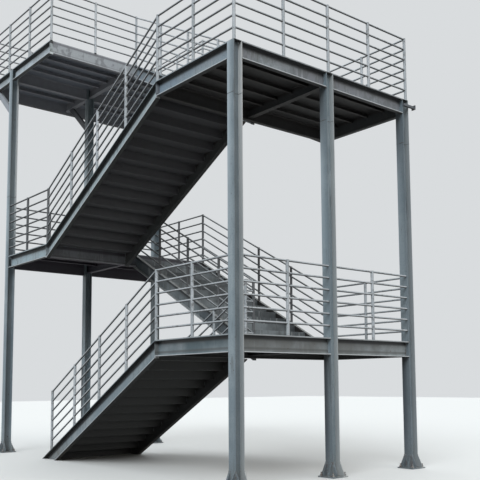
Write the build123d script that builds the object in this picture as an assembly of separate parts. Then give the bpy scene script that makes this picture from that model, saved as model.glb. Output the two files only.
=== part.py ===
# Fire escape stair of welded and painted steel: four flights that turn back on
# themselves between six H columns, with pipe railings.
# Millimetres. X runs along the flights, Y across them towards the back, Z up.
# The origin is on the axis of the front right column, on the ground.

import os
from math import atan2, cos, sin, tan

from build123d import *

# Flights and landings
riser = 150
going = 280
risers_per_flight = 14
flight_count = 4
landing_length = 2000  # from the columns' outer face to the edge where the flights land
bay_width = 1875  # from column axis to column axis, across the flights
well_gap = 120  # open gap between the front and the back flights
top_overhang = 1250  # of the top landing past the left column axes

# H columns, with their flanges facing the front and the back
column_width = 155
column_depth = 155
column_flange = 11
column_web = 8

# Base plates with tapered gussets and anchor holes
base_size = 320
base_thick = 20
gusset_height = 210
gusset_toe = 40
gusset_thick = 10
gusset_spacing = 100
anchor_spacing = 250
anchor_hole = 27

# Channels of the landings' edges and of the stringers
channel_depth = 250
channel_width = 78
channel_flange = 12
channel_web = 8
end_plate = 10

# I beams under the middle of the landings
joist_depth = 200
joist_width = 100
joist_flange = 10
joist_web = 7

# Angles that stiffen the decks
rib_depth = 80
rib_width = 50
rib_thick = 6
ribs_per_landing = 4
ribs_in_overhang = 2

# Plates
deck_thick = 6
step_thick = 5
weld_gap = 0.3
column_notch_gap = 1
cut_margin = 1  # that a cutting solid reaches past what it cuts

# Railings
rail_height = 1120
rail_count = 6
rail_diameter = 32
post_diameter = 50
rail_inset = 30  # from the outer face of the steelwork to the railing's middle plane
foot_post_setback = 340  # of the first post of the lowest flight, from the stringer's toe
bays_per_flight = 4
top_long_bays = 3

# Knee braces of the overhang and ties behind the back columns
brace_reach = 860
brace_drop = 770
brace_depth = 120
brace_width = 60
tie_length = 120  # past the back columns
tie_width = 40
tie_plate = 80
tie_plate_thick = 8
tie_drop = 92  # from the deck of landing 3 to the top of its tie
tie_gap = 20  # between the top landing's beam and the tie under it

flight_rise = riser * risers_per_flight
flight_run = going * risers_per_flight
slope = atan2(flight_rise, flight_run)
stringer_drop = channel_depth / cos(slope)
flange_drop = channel_flange / cos(slope)

right_column_x = 0
outer_right_x = column_width / 2
right_edge_x = outer_right_x - landing_length
left_edge_x = right_edge_x - flight_run
outer_left_x = left_edge_x - landing_length
left_column_x = outer_left_x + column_width / 2
top_end_x = left_column_x - top_overhang

front_y = -column_depth / 2
middle_y = bay_width
back_y = 2 * bay_width + column_depth / 2
front_web_y = front_y + channel_width
back_web_y = back_y - channel_width
front_inner_y = middle_y - well_gap / 2
back_inner_y = middle_y + well_gap / 2

front_rail_y = front_y + rail_inset
back_rail_y = back_y - rail_inset
front_inner_rail_y = front_inner_y - rail_inset
back_inner_rail_y = back_inner_y + rail_inset
right_rail_x = outer_right_x - rail_inset
left_rail_x = outer_left_x + rail_inset
top_end_rail_x = top_end_x + rail_inset
rail_pitch = (rail_height - rail_diameter / 2) / rail_count

column_y = {"front": 0, "middle": middle_y, "back": 2 * bay_width}
column_x = {"right": right_column_x, "left": left_column_x}

written = []


def deck_level(landing):
    return landing * flight_rise


def write(shape, name):
    """Writes one node's solids to its own file."""
    shape.label = name
    export_step(shape, f"parts/{name}.step")
    written.append(name)


def join(shapes):
    """Welds shapes that touch or cross into one."""
    return shapes[0].fuse(*shapes[1:]).clean() if len(shapes) > 1 else shapes[0]


def low_high(a, b):
    return (min(a, b), max(a, b))


def block(x, y, z):
    """A box given by its three pairs of low and high values."""
    size = Box(x[1] - x[0], y[1] - y[0], z[1] - z[0], align=(Align.MIN, Align.MIN, Align.MIN))
    return Pos(x[0], y[0], z[0]) * size


def side_plate(outline, y):
    """A plate with an outline in X and Z, between two values of Y."""
    points = [(x, y[0], z) for x, z in outline]
    face = make_face(Polyline(*points, close=True))
    return extrude(face, amount=y[1] - y[0], dir=(0, 1, 0))


def front_plate(outline, x):
    """A plate with an outline in Y and Z, between two values of X."""
    points = [(x[0], y, z) for y, z in outline]
    face = make_face(Polyline(*points, close=True))
    return extrude(face, amount=x[1] - x[0], dir=(1, 0, 0))


def bar(start, end, diameter):
    """A round bar from one point to another."""
    axis = Vector(*end) - Vector(*start)
    return Solid.make_cylinder(diameter / 2, axis.length, Plane(origin=start, z_dir=axis))


def channel_outline(web, flange_side):
    """Corners of a channel in plan depth and height, with its back at 0 and its top at 0."""
    tip = channel_width * flange_side
    inner = channel_web * flange_side
    low = -channel_depth
    return [
        (web, 0),
        (web + tip, 0),
        (web + tip, -channel_flange),
        (web + inner, -channel_flange),
        (web + inner, low + channel_flange),
        (web + tip, low + channel_flange),
        (web + tip, low),
        (web, low),
    ]


def beam_along_x(x, web_y, flange_side, top):
    outline = [(y, z + top) for y, z in channel_outline(web_y, flange_side)]
    return front_plate(outline, x)


def beam_along_y(web_x, flange_side, y, top):
    outline = [(x, z + top) for x, z in channel_outline(web_x, flange_side)]
    return side_plate(outline, y)


def joist_outline(middle, top, depth=joist_depth):
    half = joist_width / 2
    web = joist_web / 2
    low = top - depth
    return [
        (middle - half, top),
        (middle + half, top),
        (middle + half, top - joist_flange),
        (middle + web, top - joist_flange),
        (middle + web, low + joist_flange),
        (middle + half, low + joist_flange),
        (middle + half, low),
        (middle - half, low),
        (middle - half, low + joist_flange),
        (middle - web, low + joist_flange),
        (middle - web, top - joist_flange),
        (middle - half, top - joist_flange),
    ]


def rib_along_y(x, y, top):
    """An angle under the deck, its foot turned towards +X."""
    leg = block((x, x + rib_thick), y, (top - rib_depth, top))
    foot = block((x, x + rib_width), y, (top - rib_depth, top - rib_depth + rib_thick))
    return join([leg, foot])


# Columns


def column(x, y, top):
    """H section with its flanges facing the front and the back."""
    half_x = column_width / 2
    half_y = column_depth / 2
    height = (base_thick, top)
    web = column_web / 2
    parts = [
        block((x - half_x, x + half_x), (y - half_y, y - half_y + column_flange), height),
        block((x - half_x, x + half_x), (y + half_y - column_flange, y + half_y), height),
        block((x - web, x + web), (y - half_y + column_flange, y + half_y - column_flange), height),
    ]
    return join(parts)


def base_plate(x, y):
    """Square plate with an anchor hole near each corner."""
    half = base_size / 2
    plate = block((x - half, x + half), (y - half, y + half), (0, base_thick))
    holes = [
        Pos(x + i * anchor_spacing / 2, y + j * anchor_spacing / 2, base_thick / 2)
        * Cylinder(anchor_hole / 2, base_thick + 2 * cut_margin)
        for i in (-1, 1)
        for j in (-1, 1)
    ]
    return plate - holes


def gussets(x, y):
    """Two tapered gussets on each of the column's four sides."""
    top = base_thick + gusset_height
    toe = base_thick + gusset_toe
    half = base_size / 2
    found = []
    for side in (-1, 1):
        face_y = y + side * column_depth / 2
        edge_y = y + side * half
        outline = [(face_y, base_thick), (edge_y, base_thick), (edge_y, toe), (face_y, top)]
        for place in (-1, 1):
            middle = x + place * gusset_spacing / 2
            found.append(front_plate(outline, (middle - gusset_thick / 2, middle + gusset_thick / 2)))
        face_x = x + side * column_width / 2
        edge_x = x + side * half
        outline = [(face_x, base_thick), (edge_x, base_thick), (edge_x, toe), (face_x, top)]
        for place in (-1, 1):
            outer = y + place * column_depth / 2
            inner = outer - place * column_flange
            found.append(side_plate(outline, low_high(outer, inner)))
    return found


def whole_column(x, y, top):
    return join([column(x, y, top), base_plate(x, y), *gussets(x, y)])


# Landings


def bays_between_columns():
    """Pairs of Y values between the front, middle and back columns' faces."""
    half = column_depth / 2
    return [(half, middle_y - half), (middle_y + half, 2 * bay_width - half)]


def right_landing_frame(top):
    """Edge channels, middle beam and ribs of a landing at the right columns."""
    bay = landing_bay(right_edge_x, 1, right_column_x, top)
    return bay + side_beams(outer_right_x - channel_width, 1, top)


def left_landing_frame(top):
    """The same at the left columns, which face the other way."""
    bay = landing_bay(left_edge_x, -1, left_column_x, top)
    return bay + side_beams(outer_left_x + channel_width, -1, top)


def landing_bay(edge_x, inward, column_axis, top):
    """The beams between the flights' edge and the columns. They meet face to face, for welding."""
    inner_x = edge_x + inward * end_plate
    web_x = edge_x + inward * channel_web
    column_face = column_axis - inward * column_width / 2
    column_web_face = column_axis - inward * column_web / 2
    span = low_high(inner_x, column_face)
    plate_x = low_high(edge_x, inner_x)
    plate_z = (top - stringer_drop + deck_thick, top)
    edge_beam = beam_along_y(edge_x, inward, (front_web_y, back_web_y), top)
    joist = front_plate(joist_outline(middle_y, top), low_high(web_x, column_web_face)) - edge_beam
    beams = [
        beam_along_x(span, front_web_y, -1, top),
        beam_along_x(span, back_web_y, 1, top),
        edge_beam,
        block(plate_x, (front_y, front_web_y), plate_z),
        block(plate_x, (back_web_y, back_y), plate_z),
        joist,
    ]
    return beams + ribs_between(edge_x, column_face, ribs_per_landing, joist, top)


def ribs_between(start_x, end_x, count, joist, top):
    """Ribs from the front beam to the back one, coped round the joist that they cross."""
    pitch = (end_x - start_x) / (count + 1)
    found = []
    for i in range(count):
        rib = rib_along_y(start_x + pitch * (i + 1), (front_web_y, back_web_y), top)
        found.extend((rib - joist).solids())
    return found


def side_beams(web_x, flange_side, top):
    """Channels between the columns, along the landing's outer side."""
    return [beam_along_y(web_x, flange_side, span, top) for span in bays_between_columns()]


def top_landing_frame(top):
    """The left landing's bay, with I beams between the columns and an overhang."""
    bay = landing_bay(left_edge_x, -1, left_column_x, top)
    cross_section = joist_outline(left_column_x, top, channel_depth)
    cross_joists = [side_plate(cross_section, span) for span in bays_between_columns()]
    column_face = left_column_x - column_width / 2
    column_web_face = left_column_x - column_web / 2
    web_x = top_end_x + channel_width
    joist = front_plate(joist_outline(middle_y, top), (web_x, column_web_face))
    overhang = [
        beam_along_x((top_end_x, column_face), front_web_y, -1, top),
        beam_along_x((top_end_x, column_face), back_web_y, 1, top),
        beam_along_y(web_x, -1, (front_web_y, back_web_y), top),
        joist,
    ]
    return bay + cross_joists + overhang + ribs_between(web_x, column_face, ribs_in_overhang, joist, top)


def deck(x, landing, columns_pass):
    """Chequer plate, notched round the columns that pass through it."""
    level = deck_level(landing)
    z = (level - deck_thick, level)
    plate = block(x, (front_y, back_y), z)
    if not columns_pass:
        return plate
    side = "right" if landing % 2 else "left"
    reach_x = column_width / 2 + column_notch_gap
    reach_y = column_depth / 2 + column_notch_gap
    middle_x = column_x[side]
    cut_x = (middle_x - reach_x, middle_x + reach_x)
    cut_z = (z[0] - cut_margin, z[1] + cut_margin)
    notches = [block(cut_x, (y - reach_y, y + reach_y), cut_z) for y in column_y.values()]
    return plate - notches


# Flights


def stringer(low, high, web_y, flange_side):
    """A channel on the slope, cut upright at both ends. low and high are X and Z of its top edge."""
    tip_y = web_y + flange_side * channel_width
    inner_y = web_y + flange_side * channel_web
    outer = [low, high, (high[0], high[1] - stringer_drop), (low[0], low[1] - stringer_drop)]
    hollow = [
        (low[0], low[1] - flange_drop),
        (high[0], high[1] - flange_drop),
        (high[0], high[1] - stringer_drop + flange_drop),
        (low[0], low[1] - stringer_drop + flange_drop),
    ]
    return side_plate(outer, low_high(web_y, tip_y)) - side_plate(hollow, low_high(inner_y, tip_y))


def above_ground(shape):
    reach = 2 * (flight_run + landing_length)
    ground = block((-reach, reach), (-reach, reach), (-flight_rise, 0))
    return shape - ground


def flight_ends(flight):
    """X and Z of the flight's lower and upper edge, and the way it runs."""
    rises_right = flight % 2 == 1
    low_x = left_edge_x if rises_right else right_edge_x
    high_x = right_edge_x if rises_right else left_edge_x
    low = (low_x, deck_level(flight - 1))
    high = (high_x, deck_level(flight))
    return low, high, 1 if rises_right else -1


def flight_webs(flight):
    """Y of the outer and inner stringers' backs, and the sides their flanges point to."""
    if flight % 2 == 1:
        return (front_web_y, -1), (front_inner_y - channel_width, 1)
    return (back_web_y, 1), (back_inner_y + channel_width, -1)


def flight_stringers(flight):
    low, high, _ = flight_ends(flight)
    solids = [stringer(low, high, web, side) for web, side in flight_webs(flight)]
    return [above_ground(solid) for solid in solids] if flight == 1 else solids


def step(low, way, number, y):
    """One tread with the riser under its nosing."""
    nosing = low[0] + way * going * number
    level = low[1] + riser * number
    last = number == risers_per_flight - 1
    heel = nosing + way * (going if last else going + step_thick)
    back = nosing + way * step_thick
    tread = block(low_high(nosing, heel), y, (level - step_thick, level))
    if number == 0:
        return tread
    foot = level - riser + weld_gap
    face = block(low_high(nosing, back), y, (foot, level))
    return join([tread, face])


def flight_steps(flight):
    """The treads, and at a landing the flat plate before the first riser."""
    low, _, way = flight_ends(flight)
    (outer, _), (inner, _) = flight_webs(flight)
    y = low_high(outer, inner)
    first = 1 if flight == 1 else 0
    return [step(low, way, number, y) for number in range(first, risers_per_flight)]


# Railings


def post(x, y, floor, height=rail_height):
    return bar((x, y, floor), (x, y, floor + height), post_diameter)


def rails(start, end):
    """Rails one above the other, between two points on the floor line."""
    lifts = [rail_pitch * (i + 1) for i in range(rail_count)]
    return [
        bar((*start[:2], start[2] + lift), (*end[:2], end[2] + lift), rail_diameter) for lift in lifts
    ]


def post_clearance(x, y, floor):
    """What a rail leaves free round a post that belongs to another railing."""
    low = (x, y, floor - rail_height)
    high = (x, y, floor + 2 * rail_height)
    return bar(low, high, post_diameter + 2 * weld_gap)


def between(start, end, count):
    """Points that divide a line into equal bays, without its ends."""
    return [
        tuple(a + (b - a) * (i + 1) / count for a, b in zip(start, end)) for i in range(count - 1)
    ]


def railing(start, end, bays, own_start, own_end):
    """A straight railing. At an end its post is its own (True), its neighbour's and left
    clear (False), or missing where it meets a column (None)."""
    posts = [post(*place) for place in between(start, end, bays)]
    if own_start:
        posts.append(post(*start))
    if own_end:
        posts.append(post(*end))
    panel = join([*rails(start, end), *posts])
    if own_start is False:
        panel = panel - post_clearance(*start)
    if own_end is False:
        panel = panel - post_clearance(*end)
    return panel


def stringer_space(flight, y):
    """What a railing leaves free over the flight's stringer, so that its posts stand on the slope."""
    low, high, _ = flight_ends(flight)
    below = [low, high, (high[0], high[1] - stringer_drop), (low[0], low[1] - stringer_drop)]
    return side_plate(below, (y - post_diameter, y + post_diameter))


def flight_railing(flight, y, own_posts):
    """A railing on a stringer, its posts cut to the slope."""
    low, high, way = flight_ends(flight)
    start = (low[0], y, low[1])
    end = (high[0], y, high[1])
    if flight == 1:
        foot_x = low[0] + way * foot_post_setback
        start = (foot_x, y, low[1] + foot_post_setback * flight_rise / flight_run)
    posts = []
    for x, _, z in between(start, end, bays_per_flight):
        posts.append(post(x, y, z - post_diameter, rail_height + post_diameter))
    if flight == 1:
        posts.append(post(start[0], y, start[2] - post_diameter, rail_height + post_diameter))
    if own_posts:
        posts.append(post(*end))
        if flight > 1:
            posts.append(post(*start))
    panel = join([*rails(start, end), *posts]) - stringer_space(flight, y)
    if own_posts:
        return panel
    if flight > 1:
        panel = panel - post_clearance(*start)
    return panel - post_clearance(*end)


def well_link(x, level):
    """Short rails across the well, from one inner railing's newel to the next one's."""
    start = (x, front_inner_rail_y, level)
    end = (x, back_inner_rail_y, level)
    return rails(start, end)


def inner_railing(flight):
    """An inner railing with its newels, and the link across the well at its upper end."""
    front = flight % 2 == 1
    y = front_inner_rail_y if front else back_inner_rail_y
    other = back_inner_rail_y if front else front_inner_rail_y
    _, high, _ = flight_ends(flight)
    panel = flight_railing(flight, y, True)
    if flight == flight_count:
        return panel
    panel = join([panel, *well_link(high[0], high[1])])
    return panel - post_clearance(high[0], other, high[1])


def outer_railing(flight):
    return flight_railing(flight, front_rail_y if flight % 2 == 1 else back_rail_y, False)


def level_railing(start, end, level, bays, own_start, own_end):
    return railing((*start, level), (*end, level), bays, own_start, own_end)


def side_railing(x, level):
    """Two panels between columns, with a post in the middle of each."""
    bays = bays_between_columns()
    return [level_railing((x, low), (x, high), level, 2, None, None) for low, high in bays]


def corner_railing(landing, y, end_x, bays, own_end):
    """A front or back railing, from the edge where the flights land to the landing's outer side."""
    edge = right_edge_x if landing % 2 else left_edge_x
    panel = level_railing((edge, y), (end_x, y), deck_level(landing), bays, True, own_end)
    next_flight = landing + 1
    next_rail_y = front_rail_y if next_flight % 2 else back_rail_y
    rises_here = next_flight <= flight_count and y == next_rail_y
    return panel - stringer_space(next_flight, y) if rises_here else panel


def landing_railings(landing):
    """Front, side and back railings of a landing that its columns pass through."""
    level = deck_level(landing)
    right = landing % 2 == 1
    axis = right_column_x if right else left_column_x
    web = axis - column_web / 2 if right else axis + column_web / 2
    side_x = right_rail_x if right else left_rail_x
    return {
        "front": [corner_railing(landing, front_rail_y, web, 2, None)],
        "right" if right else "left": side_railing(side_x, level),
        "back": [corner_railing(landing, back_rail_y, web, 2, None)],
    }


def landing_3_railings():
    """The right columns end under this landing, so its railing runs round the corners."""
    level = deck_level(3)
    x = right_rail_x
    front = corner_railing(3, front_rail_y, x, 2, True)
    back = corner_railing(3, back_rail_y, x, 2, True)
    side = level_railing((x, front_rail_y), (x, back_rail_y), level, 4, False, False)
    return {"front": [front], "right": [side], "back": [back]}


def landing_4_railings():
    """The top landing is open at the back of its left end, as the way off the stair."""
    level = deck_level(4)
    left = top_end_rail_x
    front = corner_railing(4, front_rail_y, left, top_long_bays, True)
    back = corner_railing(4, back_rail_y, left, top_long_bays, True)
    end = level_railing((left, front_rail_y), (left, middle_y), level, 2, False, True)
    newel = (left_edge_x, back_inner_rail_y)
    side = level_railing((left_edge_x, front_rail_y), newel, level, 2, False, False)
    return {"front": [front], "right": [side], "left": [end], "back": [back]}


# Braces and ties


def knee_brace(y):
    """A strut from the column's outer face up to the overhang."""
    top = deck_level(4) - deck_thick
    head = top - (joist_depth if y == middle_y else channel_depth)
    low = top - channel_depth - brace_drop
    face = left_column_x - column_width / 2
    lean = atan2(brace_drop, brace_reach)
    upright = brace_depth / cos(lean)
    level = brace_depth / sin(lean)
    reach = (head - low) / tan(lean)
    outline = [(face, low), (face, low + upright), (face - reach + level, head), (face - reach, head)]
    return side_plate(outline, (y - brace_width / 2, y + brace_width / 2))


def wall_tie(tips_x, way, top):
    """A square bar on the tips of the back column's flanges, with a fixing plate on its end."""
    end = back_y + tie_length
    rod_x = low_high(tips_x, tips_x + way * tie_width)
    rod = block(rod_x, (back_y - column_depth, end), (top - tie_width, top))
    margin = (tie_plate - tie_width) / 2
    plate = block(
        (rod_x[0] - margin, rod_x[1] + margin),
        (end, end + tie_plate_thick),
        (top - tie_width - margin, top + margin),
    )
    return join([rod, plate])


def main():
    os.makedirs("parts", exist_ok=True)

    column_top = {"right": deck_level(3) - deck_thick, "left": deck_level(4) - deck_thick}
    for side, x in column_x.items():
        for place, y in column_y.items():
            write(whole_column(x, y, column_top[side]), f"{place}_{side}_column")

    for landing in (1, 2, 3, 4):
        top = deck_level(landing) - deck_thick
        if landing == 4:
            beams = top_landing_frame(top)
        elif landing % 2:
            beams = right_landing_frame(top)
        else:
            beams = left_landing_frame(top)
        write(Compound(children=beams), f"landing_{landing}_frame")

    write(deck((right_edge_x, outer_right_x), 1, True), "landing_1_deck")
    write(deck((outer_left_x, left_edge_x), 2, True), "landing_2_deck")
    write(deck((right_edge_x, outer_right_x), 3, False), "landing_3_deck")
    write(deck((top_end_x, left_edge_x), 4, False), "landing_4_deck")

    for flight in range(1, flight_count + 1):
        write(Compound(children=flight_stringers(flight)), f"flight_{flight}_stringers")
        write(Compound(children=flight_steps(flight)), f"flight_{flight}_steps")
        write(outer_railing(flight), f"flight_{flight}_outer_railing")
        write(inner_railing(flight), f"flight_{flight}_inner_railing")

    railings = {
        1: landing_railings(1),
        2: landing_railings(2),
        3: landing_3_railings(),
        4: landing_4_railings(),
    }
    for landing, sides in railings.items():
        for side, panels in sides.items():
            write(Compound(children=panels), f"landing_{landing}_{side}_railing")

    braces = [knee_brace(y) for y in column_y.values()]
    write(Compound(children=braces), "top_landing_braces")
    under_beam = deck_level(4) - deck_thick - channel_depth - tie_gap
    right_tie = wall_tie(outer_right_x, 1, deck_level(3) - tie_drop)
    left_tie = wall_tie(outer_left_x, -1, under_beam)
    write(Compound(children=[right_tie, left_tie]), "wall_ties")
    print(len(written), "nodes written")


main()
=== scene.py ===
# Fire escape stair of welded, painted steel: its finishes, welds and fixings.
# Metres. X runs along the flights, Y across them towards the back, Z up.

import math

import bpy
from mathutils import Matrix, Vector


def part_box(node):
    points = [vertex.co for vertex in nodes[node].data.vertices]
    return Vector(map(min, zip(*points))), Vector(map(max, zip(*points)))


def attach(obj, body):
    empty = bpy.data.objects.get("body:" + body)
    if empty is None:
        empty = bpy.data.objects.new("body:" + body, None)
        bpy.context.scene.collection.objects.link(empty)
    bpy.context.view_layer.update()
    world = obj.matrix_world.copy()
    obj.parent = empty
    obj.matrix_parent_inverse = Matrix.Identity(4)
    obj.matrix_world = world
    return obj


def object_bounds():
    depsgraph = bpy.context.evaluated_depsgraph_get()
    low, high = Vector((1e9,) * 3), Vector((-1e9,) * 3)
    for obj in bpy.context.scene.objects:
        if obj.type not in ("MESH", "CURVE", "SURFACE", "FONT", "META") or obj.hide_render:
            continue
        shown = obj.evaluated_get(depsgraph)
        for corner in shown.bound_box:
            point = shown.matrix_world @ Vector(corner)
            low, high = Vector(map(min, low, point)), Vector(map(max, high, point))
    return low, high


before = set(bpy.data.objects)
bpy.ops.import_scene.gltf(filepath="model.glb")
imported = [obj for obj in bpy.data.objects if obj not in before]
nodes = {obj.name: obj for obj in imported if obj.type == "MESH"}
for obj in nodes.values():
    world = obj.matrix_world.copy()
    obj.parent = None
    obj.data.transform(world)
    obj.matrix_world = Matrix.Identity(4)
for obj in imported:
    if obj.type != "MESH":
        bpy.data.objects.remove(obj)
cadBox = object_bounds()
print("frame loaded:", len(nodes), "nodes")


# Small helpers for node trees and meshes


def linear(code):
    # turns an sRGB hex colour into the linear values that shaders want
    parts = [int(code[i : i + 2], 16) / 255 for i in (1, 3, 5)]
    return [c / 12.92 if c <= 0.04045 else ((c + 0.055) / 1.055) ** 2.4 for c in parts] + [1.0]


def addNode(tree, kind, inputs=None, output=0, **settings):
    # adds a node, gives its inputs a value or the sockets that feed them, and returns an output
    node = tree.nodes.new(kind)
    for name, value in settings.items():
        setattr(node, name, value)
    for name, value in (inputs or {}).items():
        feeds = value if isinstance(value, list) and isinstance(value[0], bpy.types.NodeSocket) else [value]
        for feed in feeds:
            if isinstance(feed, bpy.types.NodeSocket):
                tree.links.new(feed, node.inputs[name])
            else:
                node.inputs[name].default_value = feed
    return node.outputs[output] if node.outputs else node


def startMaterial(name):
    # a material with an empty tree, and the tree
    material = bpy.data.materials.new(name)
    material.use_nodes = True
    material.node_tree.nodes.clear()
    return material, material.node_tree


def newPiece(name, points, edges=(), faces=()):
    mesh = bpy.data.meshes.new(name)
    mesh.from_pydata(points, edges, faces)
    mesh.update()
    piece = bpy.data.objects.new(name, mesh)
    bpy.context.scene.collection.objects.link(piece)
    return piece


# Camera at the photograph's place

cameraSettings = {
    "place": (8.2483, -6.7342, 1.3922),
    "turn": 50.4676,  # degrees from +Y towards -X
    "pitch": 5.549,
    "roll": -0.3352,
    "lens": 57.91,
    "shift": 0.1456,
}


def setCamera(s):
    data = bpy.data.cameras.new("camera")
    data.lens = s["lens"]
    data.sensor_width = 36
    data.shift_y = s["shift"]
    camera = bpy.data.objects.new("camera", data)
    bpy.context.scene.collection.objects.link(camera)
    turn = Matrix.Rotation(math.radians(s["turn"]), 4, "Z")
    tilt = Matrix.Rotation(math.radians(90 + s["pitch"]), 4, "X")
    roll = Matrix.Rotation(math.radians(s["roll"]), 4, "Z")
    camera.matrix_world = Matrix.Translation(s["place"]) @ turn @ tilt @ roll
    bpy.context.scene.camera = camera


setCamera(cameraSettings)


# Soft light, pale floor and pale surroundings

studio = {
    "surroundings": "#D9DCDE",
    "sky": "#DCE6F0",
    "sides": "#C9C6C0",
    "below": "#8A8782",
    "skyStrength": 1.5,
    "sideStrength": 0.42,
    "belowStrength": 0.1,
    "skyFrom": 0.8,  # sine of the height from which the sky is at its brightest
    "belowFrom": -0.3,
    "lamps": {
        # width is the angle in degrees that the lamp spans, for soft shadows
        "frontLamp": {"colour": "#E4ECF4", "strength": 2.0, "width": 35, "from": (0.55, -0.85, 0.8)},
        "rightLamp": {"colour": "#FBF5EE", "strength": 0.7, "width": 50, "from": (0.9, 0.15, 0.7)},
        "rearLamp": {"colour": "#E6EAEE", "strength": 0.9, "width": 60, "from": (-0.6, 0.75, 0.7)},
    },
    "floorShown": "#CFCDC8",
    "floorReturn": "#5C5A57",  # what the floor gives back as light, so that soffits stay dark
    "floorReach": 60,
}


def seenDirectly(tree):
    # 1 for what the eye sees straight, in a reflection or through glass
    path = tree.nodes.new("ShaderNodeLightPath").outputs
    seen = path["Is Camera Ray"]
    for ray in ("Is Glossy Ray", "Is Transmission Ray"):
        seen = addNode(tree, "ShaderNodeMath", {0: seen, 1: path[ray]}, operation="MAXIMUM")
    return seen


def setWorld(s):
    world = bpy.data.worlds.new("studioWorld")
    bpy.context.scene.world = world
    world.use_nodes = True
    tree = world.node_tree
    tree.nodes.clear()
    facing = addNode(tree, "ShaderNodeTexCoord", output="Generated")
    height = addNode(tree, "ShaderNodeSeparateXYZ", {0: facing}, "Z")
    colour = linear(s["sides"])
    level = s["sideStrength"]
    for place in ("sky", "below"):
        share = addNode(tree, "ShaderNodeMapRange", {"Value": height, "From Max": s[place + "From"]})
        colours = {0: share, 6: colour, 7: linear(s[place])}
        colour = addNode(tree, "ShaderNodeMix", colours, 2, data_type="RGBA")
        level = addNode(tree, "ShaderNodeMix", {0: share, 2: level, 3: s[place + "Strength"]})
    light = addNode(tree, "ShaderNodeBackground", {"Color": colour, "Strength": level})
    shown = addNode(tree, "ShaderNodeBackground", {"Color": linear(s["surroundings"])})
    both = addNode(tree, "ShaderNodeMixShader", {0: seenDirectly(tree), 1: light, 2: shown})
    addNode(tree, "ShaderNodeOutputWorld", {"Surface": both})


def setLamp(name, s):
    data = bpy.data.lights.new(name, "SUN")
    data.energy = s["strength"]
    data.angle = math.radians(s["width"])
    data.color = linear(s["colour"])[:3]
    lamp = bpy.data.objects.new(name, data)
    bpy.context.scene.collection.objects.link(lamp)
    lamp.rotation_euler = Vector(s["from"]).to_track_quat("Z", "Y").to_euler()


def setFloor(s):
    reach = s["floorReach"]
    corners = [(-reach, -reach, 0), (reach, -reach, 0), (reach, reach, 0), (-reach, reach, 0)]
    floor = newPiece("floor", corners, faces=[(0, 1, 2, 3)])
    material, tree = startMaterial("paleFloor")
    colours = {6: linear(s["floorReturn"]), 7: linear(s["floorShown"])}
    colour = addNode(tree, "ShaderNodeMix", {0: seenDirectly(tree)} | colours, 2, data_type="RGBA")
    matt = addNode(tree, "ShaderNodeBsdfDiffuse", {"Color": colour})
    addNode(tree, "ShaderNodeOutputMaterial", {"Surface": matt})
    floor.data.materials.append(material)


bpy.context.scene.view_settings.view_transform = "Standard"
setWorld(studio)
for lampName, lamp in studio["lamps"].items():
    setLamp(lampName, lamp)
setFloor(studio)
print("camera, light and floor set")


# Where the steelwork is, in metres

(rightEdge, frontFace, _), (rightOuter, backFace, _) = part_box("landing_1_deck")
(leftOuter, _, _), (leftEdge, _, _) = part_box("landing_2_deck")
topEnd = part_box("landing_4_deck")[0].x
middleY = (frontFace + backFace) / 2

sections = {
    "columnWidth": 0.155,
    "columnFlange": 0.011,
    "columnWeb": 0.008,
    "channelDepth": 0.25,
    "channelWidth": 0.078,
    "channelFlange": 0.012,
    "channelWeb": 0.008,
    "deckThick": 0.006,
    "wellGap": 0.12,
    "rise": 2.1,
    "run": 3.92,
    "risers": 14,
}

storeys = (1, 2, 3, 4)
going = sections["run"] / sections["risers"]
riser = sections["rise"] / sections["risers"]
halfColumn = sections["columnWidth"] / 2
rightAxis = rightOuter - halfColumn
leftAxis = leftOuter + halfColumn
columnLines = (frontFace + halfColumn, middleY, backFace - halfColumn)
columnAxes = [(x, y) for x in (rightAxis, leftAxis) for y in columnLines]
columnRun = rightOuter - leftOuter - sections["columnWidth"]
columnBay = middleY - frontFace - halfColumn
webInset = sections["channelWidth"] - sections["channelWeb"] / 2
outerWeb = (backFace - frontFace) / 2 - webInset
innerWeb = sections["wellGap"] / 2 + webInset


def landingSide(landing):
    # along X: the edge at the flights, the columns' axis, the outer face and the way outwards
    if landing % 2:
        return rightEdge, rightAxis, rightOuter, 1
    return leftEdge, leftAxis, leftOuter, -1


def flightEnds(flight):
    # X and Z where a flight starts and where it ends
    low, high = (leftEdge, rightEdge) if flight % 2 else (rightEdge, leftEdge)
    return (low, (flight - 1) * sections["rise"]), (high, flight * sections["rise"])


def flightWay(flight):
    # odd flights climb to the right, even ones to the left
    return 1 if flight % 2 else -1


# Enamel

patterns = {
    # size in metres, how much taller than wide, detail, and how far it is moved aside
    "clouds": (0.8, 1.0, 4, 0.0),
    "patches": (0.5, 1.0, 2, 3.1),
    "streaks": (0.06, 12.0, 3, 5.3),
    "runs": (0.05, 14.0, 2, 7.7),
    "grain": (0.02, 1.0, 3, 1.9),
    "chips": (0.05, 1.0, 4, 9.2),
    "blots": (0.14, 1.4, 3, 6.6),
    "brush": (0.006, 9.0, 3, 4.4),
}

# limits used more than once; the first two leave out what looks down or up
notBelow = ("facingUp", -0.5, -0.2)
notAbove = ("facingUp", 0.5, 0.2)
onSides = ("facingAside", 0.4, 0.8)
clouded = ("clouds", 0.4, 0.64)

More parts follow.
